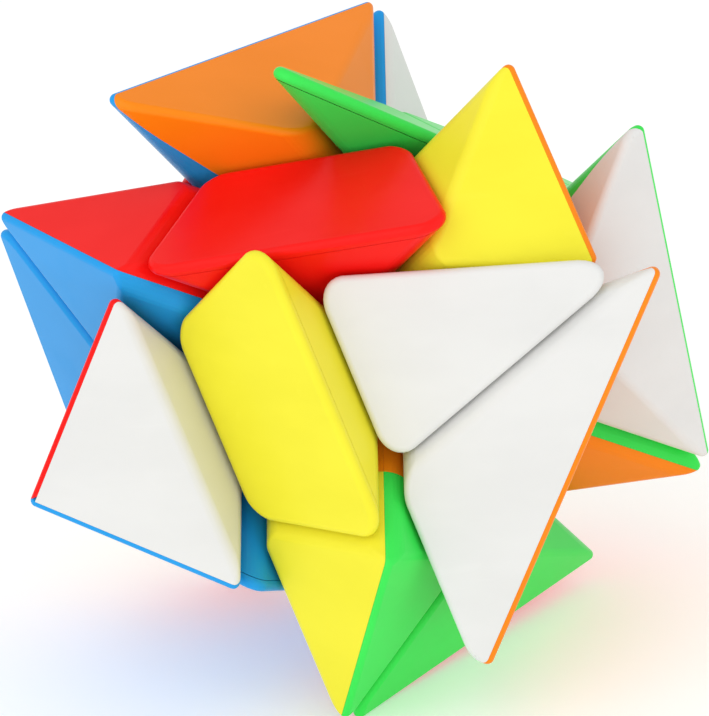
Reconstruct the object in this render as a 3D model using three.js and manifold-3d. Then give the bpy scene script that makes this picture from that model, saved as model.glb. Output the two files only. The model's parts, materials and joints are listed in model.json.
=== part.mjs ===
// An axis cube: a 3x3x3 turning puzzle whose outer cube is turned 60 degrees about the body
// diagonal of the mechanism inside it, so that every turn changes its outline.
// It stands part-way through a turn, resting on three of its tips.
// Millimetres, +Z up, origin on the ground under the middle of the whole puzzle.
import * as THREE from 'three';
import { ConvexGeometry } from 'three/addons/geometries/ConvexGeometry.js';
import { ConvexHull } from 'three/addons/math/ConvexHull.js';
import { mergeVertices } from 'three/addons/utils/BufferGeometryUtils.js';
import Module from 'manifold-3d';

const wasm = await Module();
wasm.setup();

// Driving dimensions
const CUBE_SIDE = 57;
const CUT = CUBE_SIDE / 6; // the six cutting planes lie this far from the centre
const CLEARANCE = 0.25; // taken off each wall that slides along a neighbour
const SHELL_GAP = 0.15; // taken off each side of the joint between two coloured shells
const EDGE_RADIUS = 0.8; // fillet along the edges of the coloured faces
const WALL_RADIUS = 2.8; // where two walls meet
const TIP_RADIUS = 1.6; // where two walls meet below the end of a two-colour ridge

// The mechanism under the shells
const TRACK_RADIUS = 20; // the feet run inside this sphere, the caps stay outside it
const TRACK_CLEARANCE = 0.3;
const FOOT_CUT = 5.8; // inside the track sphere the cutting planes lie closer to the centre
const FOOT_BOTTOM = 12; // nothing but the core lies inside this radius
const NECK_OVERLAP = 1;
const POCKET_RADIUS = 3.9; // in a centre, for the spring and the screw's head
const POCKET_FLOOR = 14;
const POCKET_ROOF = 23.5;
const SCREW_PASSAGE = 2;

// Core, screws and springs
const CORE_BALL = 7;
const CORE_ARM_RADIUS = 3.2;
const CORE_ARM_LENGTH = 10.8;
const CORE_HOLE_RADIUS = 1.6;
const CORE_HOLE_BOTTOM = 5;
const SHANK_RADIUS = 1.2;
const SHANK_END = 5.6;
const HEAD_RADIUS = 3.2;
const HEAD_HEIGHT = 1.8;
const HEAD_SEAT = 20.4;
const SOCKET_RADIUS = 1.3;
const SOCKET_DEPTH = 1.1;
const SPRING_RADIUS = 2.6;
const SPRING_WIRE = 0.35;
const SPRING_BOTTOM = 14.7;
const SPRING_TOP = 20;
const SPRING_TURNS = 4;

// Sampling of the round shapes
const WALL_ARC_STEPS = 3;
const TRACK_SEGMENTS = 16;
const INNER_SEGMENTS = 12;
const FAR = 120; // beyond every piece

const AXES = {
  x: new THREE.Vector3(1, 0, 0),
  y: new THREE.Vector3(0, 1, 0),
  z: new THREE.Vector3(0, 0, 1),
};

// Outward normals of the six coloured faces of the whole cube, in the mechanism's axes
const FACES = [
  { colour: 'white', normal: new THREE.Vector3(-1, 2, 2).normalize() },
  { colour: 'red', normal: new THREE.Vector3(2, -1, 2).normalize() },
  { colour: 'blue', normal: new THREE.Vector3(2, 2, -1).normalize() },
  { colour: 'yellow', normal: new THREE.Vector3(1, -2, -2).normalize() },
  { colour: 'orange', normal: new THREE.Vector3(-2, 1, -2).normalize() },
  { colour: 'green', normal: new THREE.Vector3(-2, -2, 1).normalize() },
];

// From solved to the way it stands: the middle slice across X is half turned, the middle slice
// across Y is part-way through a turn, and the upper layer has slipped a little with it.
const TURNS = [
  { axis: 'x', layer: 0, degrees: 180 },
  { axis: 'y', layer: 0, degrees: -63 },
  { axis: 'y', layer: -1, degrees: -2.5 },
];
const UPWARD = new THREE.Vector3(-0.4, -0.64, 0.66); // roughly; it rests on the hull face opposite
const FRONT = new THREE.Vector3(-3, 4, 5); // in the mechanism's axes, towards -Y of the part

const PLASTICS = {
  white: { color: 0xf1f1ee, roughness: 0.28, metalness: 0 },
  red: { color: 0xf8251f, roughness: 0.28, metalness: 0 },
  blue: { color: 0x2f93dc, roughness: 0.28, metalness: 0 },
  yellow: { color: 0xf8ee3a, roughness: 0.28, metalness: 0 },
  orange: { color: 0xff7a1c, roughness: 0.28, metalness: 0 },
  green: { color: 0x43dd58, roughness: 0.28, metalness: 0 },
  core: { color: 0x22242a, roughness: 0.5, metalness: 0 },
  steel: { color: 0xb9bcc2, roughness: 0.3, metalness: 1 },
};

// Solids

function solidFrom(geometry, matrix = new THREE.Matrix4()) {
  const bare = geometry.clone();
  bare.deleteAttribute('normal');
  bare.deleteAttribute('uv');
  const merged = mergeVertices(bare, 1e-5).applyMatrix4(matrix);
  return new wasm.Manifold(new wasm.Mesh({
    numProp: 3,
    vertProperties: new Float32Array(merged.attributes.position.array),
    triVerts: new Uint32Array(merged.index.array),
  }));
}

function geometryFrom(solid) {
  const { vertProperties, triVerts } = solid.getMesh();
  const geometry = new THREE.BufferGeometry();
  geometry.setAttribute('position', new THREE.BufferAttribute(new Float32Array(vertProperties), 3));
  geometry.setIndex(new THREE.BufferAttribute(new Uint32Array(triVerts), 1));
  geometry.computeVertexNormals();
  return geometry;
}

function ball(radius, segments) {
  return solidFrom(new THREE.SphereGeometry(radius, segments, segments / 2));
}

// Turns +Y of a lathed or cylindrical shape to the given direction
function alongDirection(direction) {
  const turn = new THREE.Quaternion().setFromUnitVectors(AXES.y, direction);
  return new THREE.Matrix4().makeRotationFromQuaternion(turn);
}

// A cylinder on the line from the centre outwards, between two distances from it
function rod(direction, radius, from, to, sides = 12) {
  const geometry = new THREE.CylinderGeometry(radius, radius, to - from, sides);
  geometry.translate(0, (from + to) / 2, 0);
  return solidFrom(geometry, alongDirection(direction));
}

// Everything on the far side of a plane whose normal points that way
function halfSpace(normal, offset) {
  const geometry = new THREE.BoxGeometry(2 * FAR, 2 * FAR, 2 * FAR);
  geometry.translate(0, FAR + offset, 0);
  return solidFrom(geometry, alongDirection(normal));
}

// The box of one cell, where cutting planes at the given distance meet it
function cellBox(cell, cut, clearance) {
  const low = new THREE.Vector3();
  const high = new THREE.Vector3();
  for (const axis of ['x', 'y', 'z']) {
    const side = cell[axis];
    low[axis] = side > 0 ? cut + clearance : side < 0 ? -FAR : -cut + clearance;
    high[axis] = side < 0 ? -cut - clearance : side > 0 ? FAR : cut - clearance;
  }
  const size = high.clone().sub(low);
  const middle = low.clone().add(high).multiplyScalar(0.5);
  const geometry = new THREE.BoxGeometry(size.x, size.y, size.z);
  geometry.translate(middle.x, middle.y, middle.z);
  return solidFrom(geometry);
}

// Convex blocks with rounded edges, each held as a list of planes { normal, offset, wall }

function meetingPoint(a, b, c) {
  const matrix = new THREE.Matrix3().set(
    a.normal.x, a.normal.y, a.normal.z,
    b.normal.x, b.normal.y, b.normal.z,
    c.normal.x, c.normal.y, c.normal.z,
  );
  if (Math.abs(matrix.determinant()) < 1e-6) return null;
  return new THREE.Vector3(a.offset, b.offset, c.offset).applyMatrix3(matrix.invert());
}

// The corners of the block, each with the planes that pass through it
function blockCorners(planes) {
  const corners = [];
  for (let i = 0; i < planes.length; i += 1) {
    for (let j = i + 1; j < planes.length; j += 1) {
      for (let k = j + 1; k < planes.length; k += 1) {
        const point = meetingPoint(planes[i], planes[j], planes[k]);
        if (!point || planes.some((plane) => plane.normal.dot(point) > plane.offset + 1e-6)) continue;
        if (corners.some((corner) => corner.point.distanceTo(point) < 1e-4)) continue;
        const through = planes.filter((plane) => plane.normal.dot(point) > plane.offset - 1e-4);
        corners.push({ point, through });
      }
    }
  }
  return corners;
}

// Planes that touch the round edge between two walls at right angles
function roundedWallPlanes(first, second, radius) {
  const planes = [];
  for (let step = 1; step < WALL_ARC_STEPS; step += 1) {
    const angle = (step / WALL_ARC_STEPS) * Math.PI / 2;
    const along = [Math.cos(angle), Math.sin(angle)];
    const normal = first.normal.clone().multiplyScalar(along[0]).addScaledVector(second.normal, along[1]);
    const offset = along[0] * (first.offset - radius) + along[1] * (second.offset - radius) + radius;
    planes.push({ normal, offset, wall: true });
  }
  return planes;
}

function roundedBlock(planes) {
  const corners = blockCorners(planes);
  const rounded = [...planes];
  const walls = planes.filter((plane) => plane.wall);
  walls.forEach((first, index) => {
    for (const second of walls.slice(index + 1)) {
      const ends = corners.filter(({ through }) => through.includes(first) && through.includes(second));
      if (ends.length < 2 || Math.abs(first.normal.dot(second.normal)) > 0.5) continue;
      const atRidge = ends.some(({ through }) => through.filter((plane) => !plane.wall).length > 1);
      rounded.push(...roundedWallPlanes(first, second, atRidge ? TIP_RADIUS : WALL_RADIUS));
    }
  });
  const inset = rounded.map((plane) => ({ ...plane, offset: plane.offset - EDGE_RADIUS }));
  const points = [];
  for (const { point, through } of blockCorners(inset)) {
    for (const { normal } of through) points.push(point.clone().addScaledVector(normal, EDGE_RADIUS));
  }
  return solidFrom(new ConvexGeometry(points));
}

// Pieces of the puzzle, each made where it lies in the solved cube

function facesOf(cell) {
  const reach = FACES.map((face) => face.normal.dot(cell));
  const most = Math.max(...reach);
  return FACES.filter((face, index) => reach[index] > most - 1e-6);
}

function capOf(cell) {
  const planes = FACES.map(({ normal }) => ({ normal, offset: CUBE_SIDE / 2, wall: false }));
  for (const axis of ['x', 'y', 'z']) {
    const outward = AXES[axis];
    if (cell[axis] === 0) {
      planes.push({ normal: outward.clone(), offset: CUT - CLEARANCE, wall: true });
      planes.push({ normal: outward.clone().negate(), offset: CUT - CLEARANCE, wall: true });
    } else {
      const inward = outward.clone().multiplyScalar(-cell[axis]);
      planes.push({ normal: inward, offset: -CUT - CLEARANCE, wall: true });
    }
  }
  return roundedBlock(planes);
}

function pieceSolid(cell) {
  const footCell = cellBox(cell, FOOT_CUT, CLEARANCE);
  const capCell = cellBox(cell, CUT, CLEARANCE);
  const cap = capOf(cell).subtract(ball(TRACK_RADIUS + TRACK_CLEARANCE, TRACK_SEGMENTS));
  const foot = footCell.intersect(ball(TRACK_RADIUS - TRACK_CLEARANCE, TRACK_SEGMENTS));
  const neck = footCell.intersect(capCell).intersect(ball(TRACK_RADIUS + NECK_OVERLAP, TRACK_SEGMENTS));
  let solid = cap.add(foot).add(neck).subtract(ball(FOOT_BOTTOM, INNER_SEGMENTS));
  if (cell.length() === 1) {
    solid = solid.subtract(rod(cell, POCKET_RADIUS, POCKET_FLOOR, POCKET_ROOF));
    solid = solid.subtract(rod(cell, SCREW_PASSAGE, 0, POCKET_FLOOR + NECK_OVERLAP));
  }
  return solid;
}

// One shell for each colour: two shells meet in the plane through the centre and their ridge
function shellSolids(cell) {
  const faces = facesOf(cell);
  const whole = pieceSolid(cell);
  return faces.map((face) => {
    let solid = whole;
    for (const other of faces) {
      if (other === face) continue;
      const towards = face.normal.clone().sub(other.normal).normalize();
      solid = solid.intersect(halfSpace(towards, SHELL_GAP));
    }
    return { colour: face.colour, solid };
  });
}

// Where the turns have carried a piece
function turnedBy(cell) {
  const turned = new THREE.Quaternion();
  for (const { axis, layer, degrees } of TURNS) {
    const place = cell.clone().applyQuaternion(turned);
    if (Math.round(place[axis]) !== layer) continue;
    const turn = new THREE.Quaternion().setFromAxisAngle(AXES[axis], THREE.MathUtils.degToRad(degrees));
    turned.premultiply(turn);
  }
  return turned;
}

function material(name) {
  return new THREE.MeshStandardMaterial({ name, ...PLASTICS[name] });
}

function namedMesh(name, geometry, materialName) {
  const mesh = new THREE.Mesh(geometry, material(materialName));
  mesh.name = name;
  return mesh;
}

function makePiece(cell) {
  const kind = { 1: 'centre', 2: 'edge', 3: 'corner' }[cell.lengthSq()];
  const shells = shellSolids(cell);
  const colours = shells.map(({ colour }) => colour).join('_');
  const group = new THREE.Group();
  for (const { colour, solid } of shells) {
    const name = shells.length > 1 ? `${kind}_${colours}.${colour}_shell` : `${kind}_${colours}`;
    group.add(namedMesh(name, geometryFrom(solid), colour));
  }
  group.quaternion.copy(turnedBy(cell));
  return group;
}

function makeCore(directions) {
  let solid = ball(CORE_BALL, INNER_SEGMENTS);
  for (const direction of directions) solid = solid.add(rod(direction, CORE_ARM_RADIUS, 0, CORE_ARM_LENGTH));
  for (const direction of directions) {
    solid = solid.subtract(rod(direction, CORE_HOLE_RADIUS, CORE_HOLE_BOTTOM, CORE_ARM_LENGTH + NECK_OVERLAP, 8));
  }
  return namedMesh('core', geometryFrom(solid), 'core');
}

function makeScrew(direction, name) {
  const headTop = HEAD_SEAT + HEAD_HEIGHT;
  const outline = [
    [0, SHANK_END], [SHANK_RADIUS - 0.4, SHANK_END], [SHANK_RADIUS, SHANK_END + 0.8],
    [SHANK_RADIUS, HEAD_SEAT], [HEAD_RADIUS, HEAD_SEAT], [HEAD_RADIUS, headTop - 0.5],
    [HEAD_RADIUS - 0.6, headTop], [SOCKET_RADIUS, headTop], [SOCKET_RADIUS, headTop - SOCKET_DEPTH],
    [0, headTop - SOCKET_DEPTH],
  ].map(([radius, along]) => new THREE.Vector2(radius, along));
  const geometry = new THREE.LatheGeometry(outline, 12);
  return namedMesh(name, geometryFrom(solidFrom(geometry, alongDirection(direction))), 'steel');
}

class Helix extends THREE.Curve {
  getPoint(t, target = new THREE.Vector3()) {
    const angle = 2 * Math.PI * SPRING_TURNS * t;
    const along = THREE.MathUtils.lerp(SPRING_BOTTOM, SPRING_TOP - SPRING_WIRE, t);
    return target.set(SPRING_RADIUS * Math.cos(angle), along, SPRING_RADIUS * Math.sin(angle));
  }
}

function makeSpring(direction, name) {
  const section = new THREE.Shape();
  section.absarc(0, 0, SPRING_WIRE, 0, 2 * Math.PI);
  const geometry = new THREE.ExtrudeGeometry(section, {
    steps: 8 * SPRING_TURNS,
    curveSegments: 3,
    extrudePath: new Helix(),
  });
  return namedMesh(name, geometryFrom(solidFrom(geometry, alongDirection(direction))), 'steel');
}

function makePuzzle() {
  const puzzle = new THREE.Group();
  const directions = [];
  for (const x of [-1, 0, 1]) {
    for (const y of [-1, 0, 1]) {
      for (const z of [-1, 0, 1]) {
        const cell = new THREE.Vector3(x, y, z);
        if (cell.lengthSq() === 0) continue;
        puzzle.add(makePiece(cell));
        if (cell.lengthSq() === 1) directions.push(cell);
      }
    }
  }
  // The core stands square to the middle slice, which its screws hold along four of its arms
  const chassis = new THREE.Group();
  chassis.quaternion.copy(turnedBy(AXES.z));
  chassis.add(makeCore(directions));
  for (const direction of directions) {
    const axis = ['x', 'y', 'z'].find((letter) => direction[letter] !== 0);
    const label = `${axis}_${direction[axis] > 0 ? 'plus' : 'minus'}`;
    chassis.add(makeScrew(direction, `screw_${label}`));
    chassis.add(makeSpring(direction, `spring_${label}`));
  }
  puzzle.add(chassis);
  return puzzle;
}

// The face of the convex hull that the puzzle stands on, by its outward normal
function restingNormal(puzzle) {
  puzzle.updateMatrixWorld(true);
  const hull = new ConvexHull().setFromObject(puzzle);
  const down = UPWARD.clone().negate().normalize();
  const normals = hull.faces.map((face) => face.normal);
  return normals.reduce((best, normal) => (normal.dot(down) > best.dot(down) ? normal : best));
}

function standUp(puzzle) {
  const up = restingNormal(puzzle).clone().negate();
  const front = FRONT.clone().projectOnPlane(up).normalize();
  const back = front.clone().negate();
  const right = up.clone().cross(front);
  // The transpose carries right, back and up to +X, +Y and +Z
  const standing = new THREE.Matrix4().makeBasis(right, back, up).transpose();
  puzzle.quaternion.setFromRotationMatrix(standing);
  puzzle.updateMatrixWorld(true);
  const box = new THREE.Box3().setFromObject(puzzle, true);
  const middle = box.getCenter(new THREE.Vector3());
  puzzle.position.set(-middle.x, -middle.y, -box.min.z);
}

const puzzle = makePuzzle();
standUp(puzzle);
const part = new THREE.Group();
part.add(puzzle);

export default part;
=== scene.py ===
import json
import math
from collections import namedtuple
from itertools import combinations, product

import bmesh
import bpy
import numpy as np
from bpy.props import FloatProperty, FloatVectorProperty, PointerProperty
from mathutils import Matrix, Vector


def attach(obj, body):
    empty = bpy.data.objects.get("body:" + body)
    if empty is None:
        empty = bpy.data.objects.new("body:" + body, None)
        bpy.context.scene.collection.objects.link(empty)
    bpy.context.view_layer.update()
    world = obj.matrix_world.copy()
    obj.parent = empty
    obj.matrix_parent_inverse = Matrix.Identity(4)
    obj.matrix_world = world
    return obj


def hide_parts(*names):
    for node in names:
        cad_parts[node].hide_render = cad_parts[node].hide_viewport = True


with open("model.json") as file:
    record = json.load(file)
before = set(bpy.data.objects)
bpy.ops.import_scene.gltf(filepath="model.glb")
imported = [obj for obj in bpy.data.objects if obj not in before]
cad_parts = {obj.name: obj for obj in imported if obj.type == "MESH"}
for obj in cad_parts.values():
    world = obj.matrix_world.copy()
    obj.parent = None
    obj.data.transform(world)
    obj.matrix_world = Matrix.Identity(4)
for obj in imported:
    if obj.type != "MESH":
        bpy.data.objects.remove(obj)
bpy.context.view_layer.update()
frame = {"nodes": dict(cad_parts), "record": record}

bl_info = {
    "name": "Axis Cube",
    "version": (1, 0, 0),
    "blender": (4, 5, 0),
    "location": "3D View > Sidebar > Axis Cube",
    "description": "Makes the coloured shells, core, screws and springs of a skewed turning puzzle",
    "category": "Object",
}

RECORD = frame["record"]
HINGE = RECORD["behaviour"]["joints"][0]
RED_FACE = RECORD["mounts"][0]
BODIES = RECORD["behaviour"]["bodies"]
CENTRE = Vector(HINGE["pos_m"])

MM = 0.001

# Outward normals of the six faces of the solved cube, in the axes of the mechanism
FACES = {
    "white": (-1, 2, 2),
    "red": (2, -1, 2),
    "blue": (2, 2, -1),
    "yellow": (1, -2, -2),
    "orange": (-2, 1, -2),
    "green": (-2, -2, 1),
}

# The turns from solved to the way it stands: (index of the axis, layer along it, degrees)
MIDDLE_SLICE_TURN = -63.0
TURNS = [(0, 0, 180.0), (1, 0, MIDDLE_SLICE_TURN), (1, -1, -2.5)]

# Where two colours meet, the later one covers the ridge
RIDGE_OWNERS = ("white", "yellow", "red", "orange", "blue", "green")

# Colour of a centre's lower body where it shows, by the cell that it starts in
INNER_COLOURS = {(0, -1, 0): "orange"}

Plane = namedtuple("Plane", "normal offset kind")
Lamp = namedtuple("Lamp", "name place diameter watts")

# Tolerances of the geometry, on points in metres and on unit directions
SAME_POINT = 1e-7
ON_PLANE = 1e-9
NEAR_PARALLEL = 1e-6
SAME_DIRECTION = 1e-4
SAME_REACH = 1e-6

# Facets that turn less than the first angle are joined, and more than the second are kept sharp
FLAT_ANGLE = math.radians(0.4)
SHARP_ANGLE = math.radians(30)
FACET_SLACK = 0.01  # of a step, so that an arc that is a whole number of steps gets no extra one

# Spheres round the puzzle's centre: the track the feet run in, and where a foot's neck is joined on
TRACK_RADIUS = 20.3 * MM
NECK_RADIUS = 20.8 * MM
BALL_SEGMENTS = (96, 48)

COIL_STEPS_PER_TURN = 32
WIRE_SIDES = 12

SPRING_STEEL = (0.55, 0.56, 0.58)
SCREW_STEEL = (0.62, 0.63, 0.65)
NYLON_DARK = (0.014, 0.015, 0.018, 1)
NYLON_LIGHT = (0.026, 0.027, 0.031, 1)
PAPER_DARK = (0.90, 0.90, 0.90, 1)
PAPER_LIGHT = (0.93, 0.93, 0.93, 1)

# Sockets of a Mix node that mixes colours, which it keeps under one name for each type of value
MIX_SHARE, MIX_FIRST, MIX_SECOND = 0, 6, 7
MIX_RESULT = 2

# The stage, in metres and watts; the floor glows a little, so that it stays pale under the puzzle
KEY = Lamp("key", (-0.5, -0.85, 0.6), 1.5, 4.6)
FILL = Lamp("fill", (0.75, -0.5, 0.45), 1.0, 1.0)
WORLD_STRENGTH = 0.79
FLOOR_RADIUS = 3.0
FLOOR_SEGMENTS = 96
FLOOR_GLOW = 0.24
SENSOR_WIDTH_MM = 36
CLIP_START = 0.01
CLIP_END = 20


# ---------------------------------------------------------------- settings


class AxisCubeShape(bpy.types.PropertyGroup):
    """Sizes of the coloured shells."""

    cube_side: FloatProperty(
        name="Cube side", description="Side of the solved cube",
        default=57 * MM, subtype="DISTANCE")
    clearance: FloatProperty(
        name="Clearance", description="Taken off each wall that slides along a neighbour",
        default=0.2 * MM, subtype="DISTANCE")
    joint_gap: FloatProperty(
        name="Joint gap", description="Hairline under the cap of a piece of one colour",
        default=0.07 * MM, subtype="DISTANCE")
    seam_gap: FloatProperty(
        name="Seam gap", description="Between two shells of one piece",
        default=0.03 * MM, subtype="DISTANCE")
    cap_depth: FloatProperty(
        name="Cap depth", description="Thickness of the cap glued on a piece of one colour",
        default=1.5 * MM, subtype="DISTANCE")
    inner_height: FloatProperty(
        name="Inner height", description="From the puzzle's centre to where a centre's shells end",
        default=26 * MM, subtype="DISTANCE")
    edge_radius: FloatProperty(
        name="Edge radius", description="Fillet round each coloured face",
        default=0.8 * MM, subtype="DISTANCE")
    seam_shift: FloatProperty(
        name="Seam shift", description="From a ridge's middle to the seam of its two shells",
        default=0.46 * MM, subtype="DISTANCE")
    wall_radius: FloatProperty(
        name="Wall radius", description="Round edge where two walls meet",
        default=3.2 * MM, subtype="DISTANCE")
    rim_radius: FloatProperty(
        name="Rim radius", description="Fillet between a coloured face and the wall it slopes into",
        default=1.7 * MM, subtype="DISTANCE")
    arc_step: FloatProperty(
        name="Arc step", description="Largest angle between two facets of a fillet",
        default=math.radians(11), subtype="ANGLE")


class AxisCubeFinish(bpy.types.PropertyGroup):
    """Colours of the mouldings and how they shine."""

    white: FloatVectorProperty(
        name="White", description="White plastic", subtype="COLOR", default=(0.75, 0.75, 0.735))
    red: FloatVectorProperty(
        name="Red", description="Red plastic", subtype="COLOR", default=(0.93, 0.006, 0.004))
    blue: FloatVectorProperty(
        name="Blue", description="Blue plastic", subtype="COLOR", default=(0.014, 0.33, 0.78))
    yellow: FloatVectorProperty(
        name="Yellow", description="Yellow plastic", subtype="COLOR", default=(0.875, 0.8, 0.036))
    orange: FloatVectorProperty(
        name="Orange", description="Orange plastic", subtype="COLOR", default=(0.95, 0.25, 0.005))
    green: FloatVectorProperty(
        name="Green", description="Green plastic", subtype="COLOR", default=(0.045, 0.79, 0.095))
    roughness: FloatProperty(
        name="Roughness", description="Of a clean moulding", default=0.3, min=0, max=1,
        subtype="FACTOR")


class AxisCubeHardware(bpy.types.PropertyGroup):
    """Sizes of the screws and springs inside."""

    coil_radius: FloatProperty(
        name="Coil radius", description="From the spring's axis to the middle of its wire",
        default=2.6 * MM, subtype="DISTANCE")
    wire_radius: FloatProperty(
        name="Wire radius", description="Of the spring's wire",
        default=0.33 * MM, subtype="DISTANCE")
    turns: FloatProperty(name="Turns", description="Of each spring", default=4.5)
    thread_pitch: FloatProperty(
        name="Thread pitch", description="Of the screws", default=0.8 * MM, subtype="DISTANCE")
    shank_radius: FloatProperty(
        name="Shank radius", description="Of the screws", default=1.2 * MM, subtype="DISTANCE")
    threaded_share: FloatProperty(
        name="Threaded share", description="How much of a screw's length is threaded", default=0.5,
        min=0, max=1, subtype="FACTOR")


class AxisCubeStudio(bpy.types.PropertyGroup):
    """Camera and lights."""

    azimuth: FloatProperty(
        name="Azimuth", description="Camera's direction round the puzzle",
        default=math.radians(0.43), subtype="ANGLE")
    elevation: FloatProperty(
        name="Elevation", description="Camera's height above the horizon",
        default=math.radians(17.46), subtype="ANGLE")
    roll: FloatProperty(
        name="Roll", description="Camera's turn about its own view",
        default=math.radians(-4.35), subtype="ANGLE")
    distance: FloatProperty(
        name="Distance", description="From the camera to the puzzle's centre",
        default=326.7 * MM, subtype="DISTANCE")
    lens: FloatProperty(name="Lens", description="Focal length in millimetres", default=132.1)
    aim_right: FloatProperty(
        name="Aim right", description="How far the view's middle passes beside the centre",
        default=-0.84 * MM, subtype="DISTANCE")
    aim_up: FloatProperty(
        name="Aim up", description="How far the view's middle passes above the centre",
        default=-1.63 * MM, subtype="DISTANCE")


# ------------------------------------------------------------ where things are


def mechanism_axes():
    """The directions of the mechanism's own axes, as columns, from the hinge and the red face."""
    along = Vector(HINGE["axis"]).normalized()
    red = Vector(RED_FACE["axis"])
    between = (red - red.dot(along) * along).normalized()  # half way between the slice's x and z
    across = along.cross(between)
    slice_x = (between + across).normalized()
    slice_z = (between - across).normalized()
    slice_axes = Matrix((slice_x, along, slice_z)).transposed()
    return slice_axes @ Matrix.Rotation(-math.radians(MIDDLE_SLICE_TURN), 3, "Y")


def turned_by(cell):
    """The rotation that the turns have given to the piece that starts in a cell."""
    turned = Matrix.Identity(3)
    for axis, layer, degrees in TURNS:
        place = turned @ Vector(cell)
        if round(place[axis]) == layer:
            turned = Matrix.Rotation(math.radians(degrees), 3, "XYZ"[axis]) @ turned
    return turned


def placement(cell):
    """The matrix that carries a shape made in the mechanism's axes to where its piece is."""
    rotation = mechanism_axes() @ turned_by(cell)
    return Matrix.Translation(CENTRE) @ rotation.to_4x4()


def body_of_node(node):
    return next(body for body, members in BODIES.items() if node in members)


# ------------------------------------------------------------ rounded convex blocks


def unit(vector):
    return vector / np.linalg.norm(vector)


def face_normal(colour):
    return unit(np.array(FACES[colour], float))


def angle_between(a, b):
    return math.acos(max(-1.0, min(1.0, float(np.dot(a, b)))))


def turned_towards(a, b, share):
    """The direction that lies a share of the way from one direction to another."""
    angle = angle_between(a, b)
    if angle < SAME_DIRECTION:
        return a
    return (math.sin((1 - share) * angle) * a + math.sin(share * angle) * b) / math.sin(angle)


def corners_of(planes):
    """The corners of the convex block inside the planes: (point, indices of its planes)."""
    normals = np.array([plane.normal for plane in planes])
    offsets = np.array([plane.offset for plane in planes])
    triples = np.array(list(combinations(range(len(planes)), 3)))
    systems = normals[triples]
    usable = np.abs(np.linalg.det(systems)) > NEAR_PARALLEL
    points = np.linalg.solve(systems[usable], offsets[triples[usable]][..., None])[..., 0]
    inside = (points @ normals.T <= offsets + ON_PLANE).all(axis=1)
    corners = []
    for point in points[inside]:
        if all(np.linalg.norm(point - known) > SAME_POINT for known, _ in corners):
            through = np.flatnonzero(normals @ point > offsets - SAME_POINT)
            corners.append((point, through))
    return corners


def piece_planes(cell, shape):
    """The six coloured planes and the walls that bound the piece of a cell."""
    half = shape.cube_side / 2
    cut = shape.cube_side / 6
    planes = [Plane(face_normal(colour), half, "face") for colour in FACES]
    for axis, side in enumerate(cell):
        outward = np.eye(3)[axis]
        if side == 0:
            planes.append(Plane(outward, cut - shape.clearance, "wall"))
            planes.append(Plane(-outward, cut - shape.clearance, "wall"))
        else:
            planes.append(Plane(-side * outward, -cut - shape.clearance, "wall"))
    return planes


def fillet(first, second, radius, step):
    """Planes that touch the round edge between two planes."""
    angle = angle_between(first.normal, second.normal)
    count = math.ceil(angle / step)
    planes = []
    for index in range(1, count):
        share = np.array([math.sin(angle - index / count * angle), math.sin(index / count * angle)])
        share /= math.sin(angle)
        normal = share[0] * first.normal + share[1] * second.normal
        offset = share @ [first.offset - radius, second.offset - radius] + radius
        planes.append(Plane(normal, offset, "fillet"))
    return planes


def with_fillets(planes, shape):
    """Adds planes that round the edges between walls, and those where a face leans over a wall."""
    corners = corners_of(planes)
    rounded = list(planes)
    for pair in combinations(range(len(planes)), 2):
        first, second = planes[pair[0]], planes[pair[1]]
        ends = [through for _, through in corners if set(pair) <= set(through)]
        if len(ends) < 2:
            continue
        kinds = {first.kind, second.kind}
        at_right_angles = abs(first.normal @ second.normal) < 0.5
        if kinds == {"wall"} and at_right_angles:
            rounded += fillet(first, second, shape.wall_radius, shape.arc_step)
        elif kinds == {"face", "wall"} and first.normal @ second.normal > 0:
            rounded += fillet(first, second, shape.rim_radius, shape.arc_step)
    return rounded


def corner_directions(normals, step):
    """Directions spread over the part of a sphere between the planes that meet at a corner."""
    middle = unit(sum(normals))
    sideways = unit(np.cross(middle, normals[0]))
    forwards = np.cross(sideways, middle)
    ordered = sorted(normals, key=lambda normal: math.atan2(normal @ sideways, normal @ forwards))
    for first, second in zip(ordered, ordered[1:] + ordered[:1]):
        arc_steps = max(1, math.ceil(angle_between(first, second) / step - FACET_SLACK))
        for index in range(arc_steps):
            edge = turned_towards(first, second, index / arc_steps)
            rings = max(1, math.ceil(angle_between(edge, middle) / step))
            for ring in range(rings):
                yield turned_towards(edge, middle, ring / rings)
    yield middle


def rounded_block(cell, shape):
    """The piece of a cell as a convex solid with every edge rounded off.

    Each corner of the block inset by the edge radius carries a patch of a sphere, and the hull of
    those patches is the block.
    """
    radius = shape.edge_radius
    planes = with_fillets(piece_planes(cell, shape), shape)
    inset = [plane._replace(offset=plane.offset - radius) for plane in planes]
    mesh = bmesh.new()
    for point, through in corners_of(inset):
        normals = [inset[index].normal for index in through]
        for direction in corner_directions(normals, shape.arc_step):
            mesh.verts.new(point + radius * direction)
    bmesh.ops.remove_doubles(mesh, verts=mesh.verts, dist=SAME_POINT)
    hull = bmesh.ops.convex_hull(mesh, input=mesh.verts)
    loose = {item for item in hull["geom_interior"] + hull["geom_unused"]
             if isinstance(item, bmesh.types.BMVert)}
    bmesh.ops.delete(mesh, geom=list(loose), context="VERTS")
    bmesh.ops.dissolve_limit(
        mesh, angle_limit=FLAT_ANGLE, verts=mesh.verts, edges=mesh.edges)
    return mesh


def keep_side(mesh, normal, offset):
    """Cuts a closed convex solid by a plane, keeps the side its normal points to and closes it."""
    geometry = mesh.verts[:] + mesh.edges[:] + mesh.faces[:]
    bmesh.ops.bisect_plane(
        mesh, geom=geometry, dist=SAME_POINT, plane_co=Vector(normal) * offset,
        plane_no=Vector(normal), clear_inner=True)
    rim = [edge for edge in mesh.edges if edge.is_boundary]
    bmesh.ops.holes_fill(mesh, edges=rim, sides=0)


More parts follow.
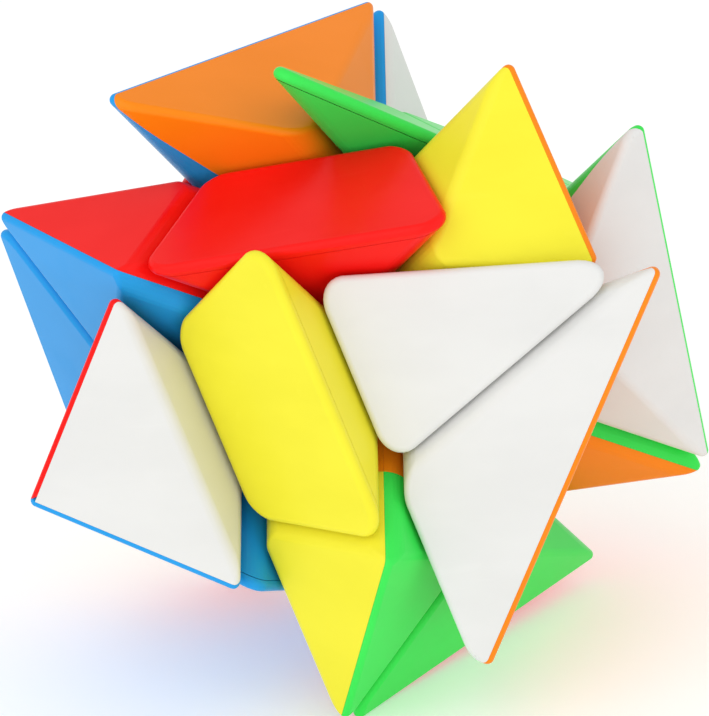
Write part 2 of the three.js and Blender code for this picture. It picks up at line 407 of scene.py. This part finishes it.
def colours_of(cell):
    """The colours of the piece that starts in a cell: the faces it reaches furthest towards."""
    reach = {colour: face_normal(colour) @ cell for colour in FACES}
    most = max(reach.values())
    return [colour for colour in FACES if reach[colour] > most - SAME_REACH]


# ------------------------------------------------------------ meshes and objects


def linked(name, data):
    """A new object in the scene that shows a mesh, a light or a camera."""
    made = bpy.data.objects.new(name, data)
    bpy.context.scene.collection.objects.link(made)
    return made


def mesh_from(builder, name, matrix=Matrix.Identity(4)):
    """Turns a bmesh into a mesh with its place in its points, and frees the bmesh."""
    bmesh.ops.transform(builder, matrix=matrix, verts=builder.verts)
    mesh = bpy.data.meshes.new(name)
    builder.to_mesh(mesh)
    builder.free()
    return mesh


def evaluated_mesh(piece):
    """A plain mesh of an object as its modifiers leave it."""
    graph = bpy.context.evaluated_depsgraph_get()
    return bpy.data.meshes.new_from_object(piece.evaluated_get(graph))


def bake_modifiers(piece):
    """Puts the modifiers' result in the mesh and removes the modifiers."""
    mesh = evaluated_mesh(piece)
    piece.modifiers.clear()
    piece.data = mesh


def combine(piece, other_mesh, operation):
    """Joins another closed mesh to a piece, cuts it away or keeps what both hold."""
    other = linked("tool", other_mesh)
    modifier = piece.modifiers.new("combine", "BOOLEAN")
    modifier.operation = operation
    modifier.solver = "EXACT"
    modifier.object = other
    bake_modifiers(piece)
    bpy.data.objects.remove(other)


def ball_mesh(radius):
    builder = bmesh.new()
    around, along = BALL_SEGMENTS
    bmesh.ops.create_uvsphere(builder, u_segments=around, v_segments=along, radius=radius)
    return mesh_from(builder, "ball", Matrix.Translation(CENTRE))


def foot_mesh(node, radius):
    """The part of a CAD node that lies inside a sphere: its foot, with the neck above."""
    builder = bmesh.new()
    builder.from_mesh(frame["nodes"][node].data)
    bmesh.ops.remove_doubles(builder, verts=builder.verts, dist=SAME_POINT)
    piece = linked("foot", mesh_from(builder, "foot"))
    combine(piece, ball_mesh(radius), "INTERSECT")
    mesh = piece.data
    bpy.data.objects.remove(piece)
    return mesh


def shade(piece):
    """Smooth fillets that run into flat faces, with the cut edges left sharp."""
    mesh = piece.data
    mesh.polygons.foreach_set("use_smooth", [True] * len(mesh.polygons))
    mesh.set_sharp_from_angle(angle=SHARP_ANGLE)
    modifier = piece.modifiers.new("flat faces", "WEIGHTED_NORMAL")
    modifier.mode = "FACE_AREA"
    modifier.weight = 100
    modifier.keep_sharp = True
    bake_modifiers(piece)


def finished_piece(name, mesh, node, colour, footed=True):
    """One moulding: hollowed over the track, its foot joined on, shaded, coloured and attached to
    its body.

    A centre's pocket ends at the track sphere, so the top of its screw's head lies inside solid
    plastic.
    """
    piece = linked(name, mesh)
    if footed:
        combine(piece, ball_mesh(TRACK_RADIUS), "DIFFERENCE")
        combine(piece, foot_mesh(node, NECK_RADIUS), "UNION")
    shade(piece)
    piece.data.materials.clear()
    piece.data.materials.append(plastic_of(colour))
    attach(piece, body_of_node(node))
    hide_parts(node)
    return piece


# ------------------------------------------------------------ materials


class Signal:
    """A socket whose arithmetic adds Math nodes."""

    def __init__(self, nodes, socket):
        self.nodes = nodes
        self.socket = socket

    def _math(self, operation, *operands):
        inputs = dict(enumerate(operands))
        return self.nodes.add("ShaderNodeMath", {"operation": operation}, inputs)

    def __add__(self, other):
        return self._math("ADD", self, other)

    __radd__ = __add__

    def __sub__(self, other):
        return self._math("SUBTRACT", self, other)

    def __rsub__(self, other):
        return self._math("SUBTRACT", other, self)

    def __mul__(self, other):
        return self._math("MULTIPLY", self, other)

    __rmul__ = __mul__

    def above(self, low, high):
        """0 below the low value, 1 above the high one, smooth between."""
        inputs = {"Value": self, "From Min": low, "From Max": high}
        settings = {"interpolation_type": "SMOOTHSTEP"}
        return self.nodes.add("ShaderNodeMapRange", settings, inputs)


class Shading:
    """Builds one material's nodes."""

    def __init__(self, name):
        self.material = bpy.data.materials.new(name)
        self.material.use_nodes = True
        self.tree = self.material.node_tree
        self.shader = self.tree.nodes["Principled BSDF"]
        self.place = self.add("ShaderNodeTexCoord", output="Object")

    def add(self, kind, settings=None, inputs=None, output=0):
        """Adds a node, sets it up, fills or links its inputs, and returns one output."""
        node = self.tree.nodes.new(kind)
        for key, value in (settings or {}).items():
            setattr(node, key, value)
        for key, value in (inputs or {}).items():
            self.feed(node.inputs[key], value)
        return Signal(self, node.outputs[output])

    def feed(self, socket, value):
        if isinstance(value, Signal):
            self.tree.links.new(value.socket, socket)
        else:
            socket.default_value = value

    def noise(self, scale, detail=2.0, stretch=(1, 1, 1)):
        """Noise with about this many features to the metre."""
        spread = self.add("ShaderNodeMapping", inputs={"Vector": self.place, "Scale": stretch})
        inputs = {"Vector": spread, "Scale": scale, "Detail": detail, "Roughness": 0.55}
        return self.add("ShaderNodeTexNoise", inputs=inputs)

    def blend(self, share, first, second):
        """A colour between two others."""
        inputs = {MIX_SHARE: share, MIX_FIRST: first, MIX_SECOND: second}
        return self.add("ShaderNodeMix", {"data_type": "RGBA"}, inputs, output=MIX_RESULT)

    def bump(self, height, distance, strength=1.0):
        inputs = {"Height": height, "Distance": distance, "Strength": strength}
        return self.add("ShaderNodeBump", inputs=inputs)

    def finish(self, **inputs):
        for name, value in inputs.items():
            self.feed(self.shader.inputs[name.replace("_", " ")], value)
        return self.material


def toned(colour, factor, lift=0.0):
    """An opaque colour made lighter or darker, and lifted towards white."""
    return tuple(min(1.0, channel * factor + lift) for channel in colour) + (1.0,)


def plastic(name, colour, roughness):
    """Glossy moulded plastic: slow flow shading, fine grain, finger smudges and hair scratches."""
    look = Shading(name)
    flow = look.noise(scale=55, detail=3, stretch=(1, 1, 2.2))
    smudge = look.noise(scale=120, detail=4).above(0.52, 0.72)
    scratch = look.noise(scale=900, detail=1, stretch=(0.06, 1, 0.6)).above(0.70, 0.76)
    grain = look.noise(scale=5200, detail=1)
    waviness = look.noise(scale=160, detail=1)
    base = look.blend(flow.above(0.3, 0.7), toned(colour, 0.965), toned(colour, 1.0, 0.004))
    base = look.blend(scratch * 0.12, base, toned(colour, 1.02, 0.03))
    gloss = roughness + 0.05 * smudge + 0.06 * scratch + 0.03 * (flow - 0.5)
    height = 0.0016 * grain + 0.05 * waviness - 0.004 * scratch
    return look.finish(
        Base_Color=base, Roughness=gloss, Normal=look.bump(height, 0.4 * MM, 0.35),
        IOR=1.4, Specular_IOR_Level=0.2)


def nylon(name):
    """Matt dark plastic of the core, with a spark-eroded texture."""
    look = Shading(name)
    texture = look.noise(scale=2600, detail=3)
    patch = look.noise(scale=180, detail=2)
    base = look.blend(patch.above(0.35, 0.65), NYLON_DARK, NYLON_LIGHT)
    return look.finish(
        Base_Color=base, Roughness=0.46 + 0.12 * texture, Normal=look.bump(texture, 0.06 * MM, 0.5))


def steel(name, colour):
    """Drawn or turned steel with a fine grain along its length and dull patches."""
    look = Shading(name)
    lines = look.noise(scale=3800, detail=2, stretch=(1, 1, 0.12))
    dull = look.noise(scale=420, detail=3).above(0.5, 0.75)
    base = look.blend(dull, toned(colour, 1.0), toned(colour, 0.72))
    return look.finish(
        Base_Color=base, Roughness=0.2 + 0.14 * lines + 0.16 * dull, Metallic=1.0,
        Normal=look.bump(lines, 0.03 * MM, 0.4))


def material(name, maker, *arguments):
    """One material of each kind, made when it is first asked for."""
    own_name = f"finish_{name}"  # the CAD nodes bring plain materials with the bare names
    return bpy.data.materials.get(own_name) or maker(own_name, *arguments)


def plastic_of(colour):
    finish = bpy.context.scene.axis_cube_finish
    tint = tuple(getattr(finish, colour))
    return material(f"{colour}_plastic", plastic, tint, finish.roughness)


# ------------------------------------------------------------ pieces


def node_names(cell):
    """The CAD node of each colour of the piece that starts in a cell."""
    kind = {1: "centre", 2: "edge", 3: "corner"}[sum(map(abs, cell))]
    colours = colours_of(np.array(cell))
    stem = f"{kind}_{'_'.join(colours)}"
    if len(colours) == 1:
        return {colours[0]: stem}
    return {colour: f"{stem}.{colour}_shell" for colour in colours}


def make_capped_piece(cell, colour, node, shape):
    """A piece of one colour: a body and the cap glued on it along a fine line."""
    normal = face_normal(colour)
    joint = shape.cube_side / 2 - shape.cap_depth
    body = rounded_block(cell, shape)
    cap = body.copy()
    keep_side(body, -normal, -(joint - shape.joint_gap))
    keep_side(cap, normal, joint)
    matrix = placement(cell)
    finished_piece(f"{node}_body", mesh_from(body, node, matrix), node, colour)
    finished_piece(f"{node}_cap", mesh_from(cap, node, matrix), node, colour, footed=False)


def keep_shell(block, colour, other, shape):
    """Cuts a piece down to one colour's side of its seam with another colour.

    The seam runs a little beside the ridge, so that the colour that comes later in RIDGE_OWNERS
    covers the whole round edge.
    """
    towards = unit(face_normal(colour) - face_normal(other))
    owner = RIDGE_OWNERS.index(colour) > RIDGE_OWNERS.index(other)
    shift = -shape.seam_shift if owner else shape.seam_shift
    keep_side(block, towards, shift + shape.seam_gap / 2)


def make_shell(cell, colour, others, node, shape):
    """One coloured moulding of a piece of several colours."""
    shell = rounded_block(cell, shape)
    for other in others:
        keep_shell(shell, colour, other, shape)
    matrix = placement(cell)
    if cell not in INNER_COLOURS:
        finished_piece(f"{node}_moulding", mesh_from(shell, node, matrix), node, colour)
        return
    outward = unit(np.array(cell, float))
    inner = shell.copy()
    keep_side(shell, outward, shape.inner_height)
    keep_side(inner, -outward, -(shape.inner_height - shape.seam_gap))
    finished_piece(f"{node}_moulding", mesh_from(shell, node, matrix), node, colour, footed=False)
    finished_piece(f"{node}_inner", mesh_from(inner, node, matrix), node, INNER_COLOURS[cell])


def make_pieces(sides):
    """Every piece in this many outer layers at once: 1 for centres, 2 for edges, 3 for corners."""
    shape = bpy.context.scene.axis_cube_shape
    for cell in product((-1, 0, 1), repeat=3):
        if sum(map(abs, cell)) != sides:
            continue
        nodes = node_names(cell)
        for colour, node in nodes.items():
            others = [other for other in nodes if other != colour]
            if others:
                make_shell(cell, colour, others, node, shape)
            else:
                make_capped_piece(cell, colour, node, shape)


# ------------------------------------------------------------ hardware


def core_turn():
    """The rotation that the turns have given to the core, which goes with the middle slice."""
    return turned_by((0, 0, 1))


def repaint(node, look):
    """Gives a CAD node, which stays as it is, a material of this script."""
    mesh = frame["nodes"][node].data
    mesh.materials.clear()
    mesh.materials.append(look)


def extent_along(node, direction):
    """How near to the puzzle's centre a CAD node starts along a direction, and how far it goes."""
    steps = [(vertex.co - CENTRE).dot(direction) for vertex in frame["nodes"][node].data.vertices]
    return min(steps), max(steps)


def coil_tree():
    """Geometry nodes that wind a round wire into a helix along Z."""
    tree = bpy.data.node_groups.get("coil")
    if tree:
        return tree
    tree = bpy.data.node_groups.new("coil", "GeometryNodeTree")
    for name in ("Coil Radius", "Wire Radius", "Height", "Turns"):
        tree.interface.new_socket(name, in_out="INPUT", socket_type="NodeSocketFloat")
    tree.interface.new_socket("Material", in_out="INPUT", socket_type="NodeSocketMaterial")
    tree.interface.new_socket("Geometry", in_out="OUTPUT", socket_type="NodeSocketGeometry")
    given = tree.nodes.new("NodeGroupInput")
    helix = tree.nodes.new("GeometryNodeCurveSpiral")
    section = tree.nodes.new("GeometryNodeCurvePrimitiveCircle")
    sweep = tree.nodes.new("GeometryNodeCurveToMesh")
    realize = tree.nodes.new("GeometryNodeRealizeInstances")
    coat = tree.nodes.new("GeometryNodeSetMaterial")
    result = tree.nodes.new("NodeGroupOutput")
    helix.inputs["Resolution"].default_value = COIL_STEPS_PER_TURN
    section.inputs["Resolution"].default_value = WIRE_SIDES
    sweep.inputs["Fill Caps"].default_value = True
    for source, target in (
        (given.outputs["Coil Radius"], helix.inputs["Start Radius"]),
        (given.outputs["Coil Radius"], helix.inputs["End Radius"]),
        (given.outputs["Height"], helix.inputs["Height"]),
        (given.outputs["Turns"], helix.inputs["Rotations"]),
        (given.outputs["Wire Radius"], section.inputs["Radius"]),
        (helix.outputs["Curve"], sweep.inputs["Curve"]),
        (section.outputs["Curve"], sweep.inputs["Profile Curve"]),
        (sweep.outputs["Mesh"], realize.inputs["Geometry"]),
        (realize.outputs["Geometry"], coat.inputs["Geometry"]),
        (given.outputs["Material"], coat.inputs["Material"]),
        (coat.outputs["Geometry"], result.inputs["Geometry"]),
    ):
        tree.links.new(source, target)
    return tree


def wound(name, start, direction, **values):
    """A coil that starts at a point and rises in a direction, as a plain mesh."""
    piece = linked(name, bpy.data.meshes.new(name))
    modifier = piece.modifiers.new("coil", "NODES")
    modifier.node_group = coil_tree()
    for item in modifier.node_group.interface.items_tree:
        if item.in_out == "INPUT":
            modifier[item.identifier] = values[item.name.replace(" ", "_").lower()]
    mesh = evaluated_mesh(piece)
    upright = direction.to_track_quat("Z", "Y").to_matrix().to_4x4()
    mesh.transform(Matrix.Translation(start) @ upright)
    mesh.polygons.foreach_set("use_smooth", [True] * len(mesh.polygons))
    piece.modifiers.clear()
    piece.data = mesh
    return piece


def make_spring(node, direction, hardware):
    """A coil spring between the centre's floor and the screw's head."""
    low, high = extent_along(node, direction)
    wire = hardware.wire_radius
    spring = wound(
        f"{node}_coil", CENTRE + (low + wire) * direction, direction,
        coil_radius=hardware.coil_radius, wire_radius=wire, height=high - low - 2 * wire,
        turns=hardware.turns, material=material("spring_steel", steel, SPRING_STEEL))
    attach(spring, body_of_node(node))
    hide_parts(node)


def make_thread(node, direction, hardware):
    """The thread round the end of a screw's shank."""
    low, high = extent_along(node, direction)
    length = (high - low) * hardware.threaded_share
    ridge = hardware.thread_pitch / 4
    thread = wound(
        f"{node}_thread", CENTRE + (low + ridge) * direction, direction,
        coil_radius=hardware.shank_radius, wire_radius=ridge, height=length,
        turns=length / hardware.thread_pitch,
        material=material("screw_steel", steel, SCREW_STEEL))
    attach(thread, body_of_node(node))


# ------------------------------------------------------------ operators


class AXISCUBE_OT_centres(bpy.types.Operator):
    """Make the six centres, each of two coloured shells"""

    bl_idname = "axis_cube.centres"
    bl_label = "Centres"

    def execute(self, context):
        make_pieces(1)
        return {"FINISHED"}


class AXISCUBE_OT_edges(bpy.types.Operator):
    """Make the twelve edges, six of one colour and six of two"""

    bl_idname = "axis_cube.edges"
    bl_label = "Edges"

    def execute(self, context):
        make_pieces(2)
        return {"FINISHED"}


class AXISCUBE_OT_corners(bpy.types.Operator):
    """Make the eight corners, six of one colour and two of three"""

    bl_idname = "axis_cube.corners"
    bl_label = "Corners"

    def execute(self, context):
        make_pieces(3)
        return {"FINISHED"}


class AXISCUBE_OT_hardware(bpy.types.Operator):
    """Finish the core and the screws, and wind the screws' threads and the springs"""

    bl_idname = "axis_cube.hardware"
    bl_label = "Core, screws and springs"

    def execute(self, context):
        hardware = context.scene.axis_cube_hardware
        repaint("core", material("core_nylon", nylon))
        for axis, side in product(range(3), (-1, 1)):
            name = f"{'xyz'[axis]}_{'plus' if side > 0 else 'minus'}"
            direction = mechanism_axes() @ core_turn() @ Vector(side * np.eye(3)[axis])
            repaint(f"screw_{name}", material("screw_steel", steel, SCREW_STEEL))
            make_thread(f"screw_{name}", direction, hardware)
            make_spring(f"spring_{name}", direction, hardware)
        return {"FINISHED"}


def add_lamp(settings):
    """A round soft light that faces the puzzle's centre."""
    light = bpy.data.lights.new(settings.name, "AREA")
    light.shape = "DISK"
    light.size = settings.diameter
    light.energy = settings.watts
    lamp = linked(settings.name, light)
    lamp.location = settings.place
    lamp.rotation_euler = (CENTRE - lamp.location).to_track_quat("-Z", "Y").to_euler()


def add_camera(studio):
    """The camera, on a circle round the puzzle, aimed a little beside its centre."""
    data = bpy.data.cameras.new("camera")
    data.sensor_fit = "HORIZONTAL"
    data.sensor_width = SENSOR_WIDTH_MM
    data.lens = studio.lens
    data.clip_start = CLIP_START
    data.clip_end = CLIP_END
    camera = linked("camera", data)
    azimuth, elevation = studio.azimuth, studio.elevation
    back = Vector((
        math.sin(azimuth) * math.cos(elevation),
        -math.cos(azimuth) * math.cos(elevation),
        math.sin(elevation),
    ))
    turn = (-back).to_track_quat("-Z", "Y").to_matrix() @ Matrix.Rotation(studio.roll, 3, "Z")
    aside = studio.aim_right * turn.col[0] + studio.aim_up * turn.col[1]
    place = CENTRE + aside + studio.distance * back
    camera.matrix_world = Matrix.Translation(place) @ turn.to_4x4()
    bpy.context.scene.camera = camera


def add_floor():
    """A wide disc of pale, slightly rough paper."""
    builder = bmesh.new()
    bmesh.ops.create_circle(
        builder, cap_ends=True, radius=FLOOR_RADIUS, segments=FLOOR_SEGMENTS)
    floor = linked("floor", mesh_from(builder, "floor"))
    look = Shading("floor_paper")
    tooth = look.noise(scale=700, detail=3)
    base = look.blend(tooth, PAPER_DARK, PAPER_LIGHT)
    paper = look.finish(
        Base_Color=base, Roughness=0.85, Normal=look.bump(tooth, 0.05 * MM, 0.2),
        Emission_Color=(1, 1, 1, 1), Emission_Strength=FLOOR_GLOW)
    floor.data.materials.append(paper)


def add_world():
    """An even white surround."""
    world = bpy.data.worlds.new("studio")
    world.use_nodes = True
    background = world.node_tree.nodes["Background"]
    background.inputs["Color"].default_value = (1.0, 1.0, 1.0, 1)
    background.inputs["Strength"].default_value = WORLD_STRENGTH
    bpy.context.scene.world = world


class AXISCUBE_OT_stage(bpy.types.Operator):
    """Set up the camera, the lights and the pale floor"""

    bl_idname = "axis_cube.stage"
    bl_label = "Stage"

    def execute(self, context):
        context.scene.view_settings.view_transform = "Standard"
        add_camera(context.scene.axis_cube_studio)
        add_world()
        add_floor()
        add_lamp(KEY)
        add_lamp(FILL)
        return {"FINISHED"}


class AXISCUBE_PT_panel(bpy.types.Panel):
    bl_label = "Axis Cube"
    bl_idname = "AXISCUBE_PT_panel"
    bl_space_type = "VIEW_3D"
    bl_region_type = "UI"
    bl_category = "Axis Cube"

    def draw(self, context):
        for operator in OPERATORS:
            self.layout.operator(operator.bl_idname)
        for group in SETTINGS:
            settings = getattr(context.scene, group)
            for name in settings.bl_rna.properties.keys():
                if name not in {"rna_type", "name"}:
                    self.layout.prop(settings, name)


SETTINGS = {
    "axis_cube_shape": AxisCubeShape,
    "axis_cube_finish": AxisCubeFinish,
    "axis_cube_hardware": AxisCubeHardware,
    "axis_cube_studio": AxisCubeStudio,
}
OPERATORS = (
    AXISCUBE_OT_stage,
    AXISCUBE_OT_hardware,
    AXISCUBE_OT_centres,
    AXISCUBE_OT_edges,
    AXISCUBE_OT_corners,
)


def register():
    for cls in (*SETTINGS.values(), *OPERATORS, AXISCUBE_PT_panel):
        bpy.utils.register_class(cls)
    for name, cls in SETTINGS.items():
        setattr(bpy.types.Scene, name, PointerProperty(type=cls))


def unregister():
    for name in SETTINGS:
        delattr(bpy.types.Scene, name)
    for cls in reversed((*SETTINGS.values(), *OPERATORS, AXISCUBE_PT_panel)):
        bpy.utils.unregister_class(cls)


def main():
    register()
    bpy.ops.axis_cube.stage()
    bpy.ops.axis_cube.hardware()
    bpy.ops.axis_cube.centres()
    bpy.ops.axis_cube.edges()
    bpy.ops.axis_cube.corners()


if __name__ == "__main__":
    main()
